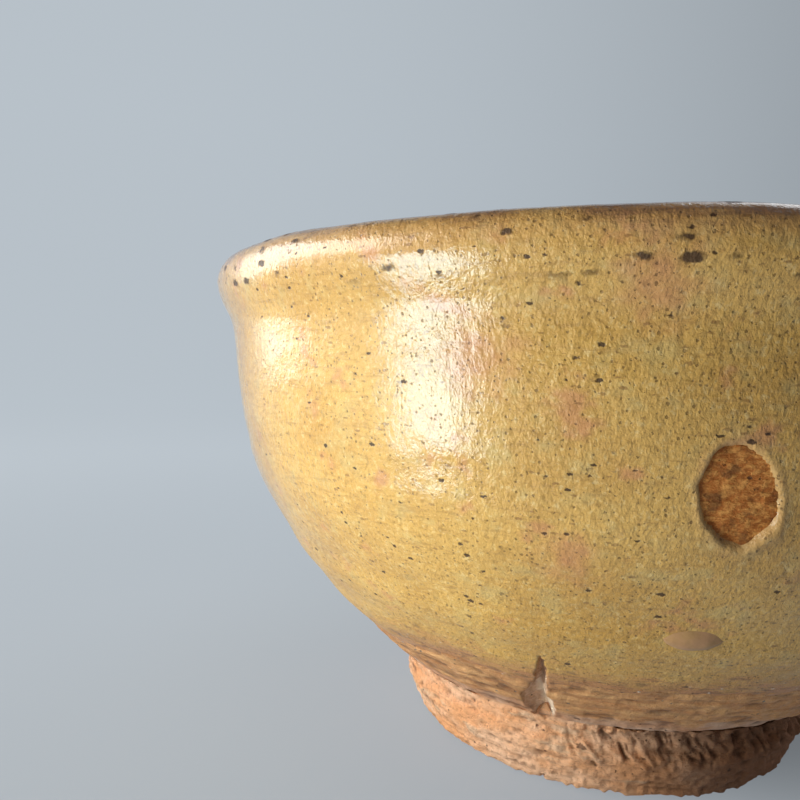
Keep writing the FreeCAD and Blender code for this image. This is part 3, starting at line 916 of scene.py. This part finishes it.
def build_drop():
    """The crescent of thick glaze: a grid on the skin, bulged, and closed by a back under it."""
    n, m = (64, 28) if COARSE == 1 else (24, 12)
    u, v = np.meshgrid(np.linspace(-DROP_ENDS, DROP_ENDS, n), np.linspace(-1, 1, m))
    width = np.sqrt(np.clip(1 - u**2, 0, 1))
    y = v * width * np.where(v > 0, DROP["above"], DROP["below"]) + 0.3 * u**2 + 0.1 * u
    base_s = CLAY.nearest(DROP["radius"], DROP["height"])
    theta = math.radians(DROP["azimuth"]) + u * DROP["half_width"] / CLAY.at(base_s)[0]
    s = base_s + y
    softness = np.where(v > 0, 0.6 + 1.4 * v, 0.6)
    dome = np.clip((1 - v**2) * (1 - u**2), 0, 1) ** softness * DROP["bulge"]
    r, z, _, _ = CLAY.at(s)
    p = np.stack([r * np.cos(theta), r * np.sin(theta), z], -1)
    lift = outer_height(theta, r, z, p)
    top = skin_points(CLAY, theta, s, lambda *_: lift - DROP_SUNK + dome)
    under = skin_points(CLAY, theta, s, lambda *_: lift - DROP_BACK)
    points = np.concatenate([top.reshape(-1, 3), under.reshape(-1, 3)])
    index = np.arange(n * m).reshape(m, n)
    a, b, c, d = index[:-1, :-1], index[:-1, 1:], index[1:, 1:], index[1:, :-1]
    front = np.stack([a, b, c, d], -1).reshape(-1, 4)
    back = front[:, ::-1] + n * m
    rim = np.concatenate([index[0, :-1], index[:-1, -1], index[-1, :0:-1], index[:0:-1, 0]])
    step = np.roll(rim, -1)
    wall = np.stack([step, rim, rim + n * m, step + n * m], -1)
    mesh = bpy.data.meshes.new("glaze_drop_skin")
    mesh.from_pydata((points * MM).tolist(), [], np.concatenate([front, back, wall]).tolist())
    mesh.polygons.foreach_set("use_smooth", [True] * len(mesh.polygons))
    mesh.update()
    add_piece("glaze_drop_skin", mesh, drop_paint("thick_pale_glaze"),
              ["glaze_drop"])


build_clay()
build_foot()
build_outer_glaze()
build_inner_glaze()
build_drop()

# ---------------------------------------------------------------- studio and camera


FLOOR_RADIUS, CURVE, WALL_TOPS = 1.0, 0.6, (1.1, 1.8)  # metres
STUDIO_SIDES = 96
STUDIO_GREY, STUDIO_GLOW = (0.16, 0.17, 0.18, 1), (0.83, 0.92, 1.0, 1)
NEAR_GLOW = (-110.0, 120.0, 0.47, 0.235)  # x from, x to, and the glow at each, by the bowl: painted light that fades from left to right
FAR_GLOW = (-0.6, 1.75, 0.10, 0.54)  # the same by direction, out at the backdrop
FAR_FROM, FAR_TO = 60.0, 420.0  # the near glow gives way to the far one between these radii
PAINTED_SHADOW_PLACE, PAINTED_FLOOR_SHADOW = (22, 12, 0), (15.0, 46.0, 0.5, 1.0)  # the soft painted shadow on the floor by the foot


def studio_paint():
    """Plain pale grey that glows softly, paler to the left by the bowl and to the back far off:
    painted light, with a painted shadow by the foot.
    """
    m = Paint("studio_paint")
    m.shader.inputs["Base Color"].default_value = STUDIO_GREY
    m.shader.inputs["Roughness"].default_value = 0.95
    m.shader.inputs["Specular IOR Level"].default_value = 0.0
    x, y, _ = m.axes()
    out = m.math("SQRT", m.math("ADD", m.math("MULTIPLY", x, x), m.math("MULTIPLY", y, y)))
    lean = m.math("SUBTRACT", y, m.math("MULTIPLY", x, 1.2))  # grows to the back and the left
    far = m.span(m.math("DIVIDE", lean, m.math("ADD", out, 1.0)), *FAR_GLOW)
    near = m.span(x, *NEAR_GLOW)
    # painted shadow: the floor's glow dims near the foot
    shade = m.tree.nodes.new("ShaderNodeVectorMath")
    shade.operation = "DISTANCE"
    m.put(shade.inputs[0], m.position)
    shade.inputs[1].default_value = PAINTED_SHADOW_PLACE
    near = m.math("MULTIPLY", near, m.span(shade.outputs["Value"], *PAINTED_FLOOR_SHADOW))
    share = m.span(out, FAR_FROM, FAR_TO)
    glow = m.math("MULTIPLY", far, share)
    glow = m.math("ADD", glow, m.math("MULTIPLY", near, m.math("SUBTRACT", 1.0, share)))
    m.put(m.shader.inputs["Emission Strength"], glow)
    m.shader.inputs["Emission Color"].default_value = STUDIO_GLOW
    return m.material


def build_studio():
    """A floor that curves up into a round backdrop, in one plain pale grey with a painted glow and
    shadow.
    """
    wall = FLOOR_RADIUS + CURVE
    outline = [(0.0, 0.0), (FLOOR_RADIUS / 2, 0.0), (FLOOR_RADIUS, 0.0)]
    for a in np.linspace(0.1, 1.57, 16):
        outline.append((FLOOR_RADIUS + CURVE * math.sin(a), CURVE - CURVE * math.cos(a)))
    outline += [(wall, z) for z in WALL_TOPS]
    n = STUDIO_SIDES
    points, faces = [], []
    for r, z in outline:
        for k in range(n):
            a = 2 * math.pi * k / n
            points.append((r * math.cos(a), r * math.sin(a), z))
    for i in range(len(outline) - 1):
        for k in range(n):
            j = (k + 1) % n
            faces.append((i * n + k, i * n + j, (i + 1) * n + j, (i + 1) * n + k))
    mesh = bpy.data.meshes.new("studio")
    mesh.from_pydata(points, [], faces)
    mesh.polygons.foreach_set("use_smooth", [True] * len(mesh.polygons))
    mesh.materials.append(studio_paint())
    studio = bpy.data.objects.new("studio", mesh)
    bpy.context.scene.collection.objects.link(studio)


BOWL_MIDDLE = (0, 0, 0.04)
# Each light: name, place, what it points at, size, power, colour.
# These light the bowl alone, because they would leave patches and edges on the floor.
BOWL_LIGHTS = [
    ("near_softbox", (-0.0705, -0.1075, 0.028), (-0.017, -0.059, 0.028), (0.034, 0.048), 0.045,
     (0.64, 0.9, 1.0)),
    ("near_fill", (-0.076, -0.115, 0.03), (-0.012, -0.058, 0.035), (0.05, 0.05), 0.046,
     (1.0, 0.98, 0.92)),
    ("left_panel", (-0.5, 0.03, 0.12), BOWL_MIDDLE, (0.22, 0.36), 0.9, (0.9, 0.97, 1.0)),
    ("right_panel", (0.45, 0.27, 0.16), BOWL_MIDDLE, (0.4, 0.4), 1.15, (1.0, 0.98, 0.95)),
    ("front_fill", (-0.33, -0.33, 0.06), BOWL_MIDDLE, (0.3, 0.3), 0.15, (1.0, 0.97, 0.9)),
]
ROOM_LIGHTS = [
    ("key", (-0.52, -0.22, 0.20), (0, 0, 0.045), (0.34, 0.28), 1.5, (1.0, 0.97, 0.94)),
    ("back_softbox", (0.30, 0.40, 0.55), BOWL_MIDDLE, (0.4, 0.4), 0.8, (0.95, 0.97, 1)),
]
UNREFLECTED = ("near_fill", "front_fill")  # these brighten the glaze but leave no highlight
SKY, SKY_STRENGTH = (0.9, 0.93, 1.0, 1), 0.07


def area_light(name, place, target, size, power, colour):
    light = bpy.data.lights.new(name, "AREA")
    light.shape = "RECTANGLE"
    light.size, light.size_y = size
    light.energy = power
    light.color = colour
    lamp = bpy.data.objects.new(name, light)
    lamp.location = place
    aim = (Vector(target) - Vector(place)).normalized()
    lamp.rotation_euler = aim.to_track_quat("-Z", "Y").to_euler()
    lamp.visible_camera = False
    bpy.context.scene.collection.objects.link(lamp)
    return lamp


def build_lights():
    bowl = bpy.data.collections.new("bowl")
    for thing in list(bpy.context.scene.collection.objects):
        if thing.name.endswith("_skin"):
            bowl.objects.link(thing)
    for row in BOWL_LIGHTS:
        lamp = area_light(*row)
        lamp.light_linking.receiver_collection = bowl
        lamp.visible_glossy = lamp.name not in UNREFLECTED
    for row in ROOM_LIGHTS:
        area_light(*row)
    world = bpy.data.worlds.new("world")
    world.use_nodes = True
    background = world.node_tree.nodes["Background"]
    background.inputs[0].default_value = SKY
    background.inputs[1].default_value = SKY_STRENGTH
    bpy.context.scene.world = world
    bpy.context.scene.view_settings.view_transform = "Standard"


CAMERA_PLACE = (0, -0.12983, 0.05502)
YAW, PITCH, ROLL_ANGLE = -0.273, -0.035, 0.041  # radians
SENSOR, LENS = 36, 32.9625  # sensor width and focal length
CLIP_START = 0.005


def build_camera():
    """A close camera that looks a little down and to the left of the bowl's middle."""
    forward = Vector((math.sin(YAW) * math.cos(PITCH), math.cos(YAW) * math.cos(PITCH),
                      math.sin(PITCH)))
    level = Vector((math.cos(YAW), -math.sin(YAW), 0))
    upright = level.cross(forward)
    right = math.cos(ROLL_ANGLE) * level + math.sin(ROLL_ANGLE) * upright
    up = -math.sin(ROLL_ANGLE) * level + math.cos(ROLL_ANGLE) * upright
    data = bpy.data.cameras.new("camera")
    data.sensor_width = SENSOR
    data.lens = LENS
    data.clip_start = CLIP_START
    camera = bpy.data.objects.new("camera", data)
    turn = Matrix((right, up, -forward)).transposed()
    camera.matrix_world = Matrix.Translation(CAMERA_PLACE) @ turn.to_4x4()
    bpy.context.scene.collection.objects.link(camera)
    bpy.context.scene.camera = camera


build_studio()
build_lights()
build_camera()
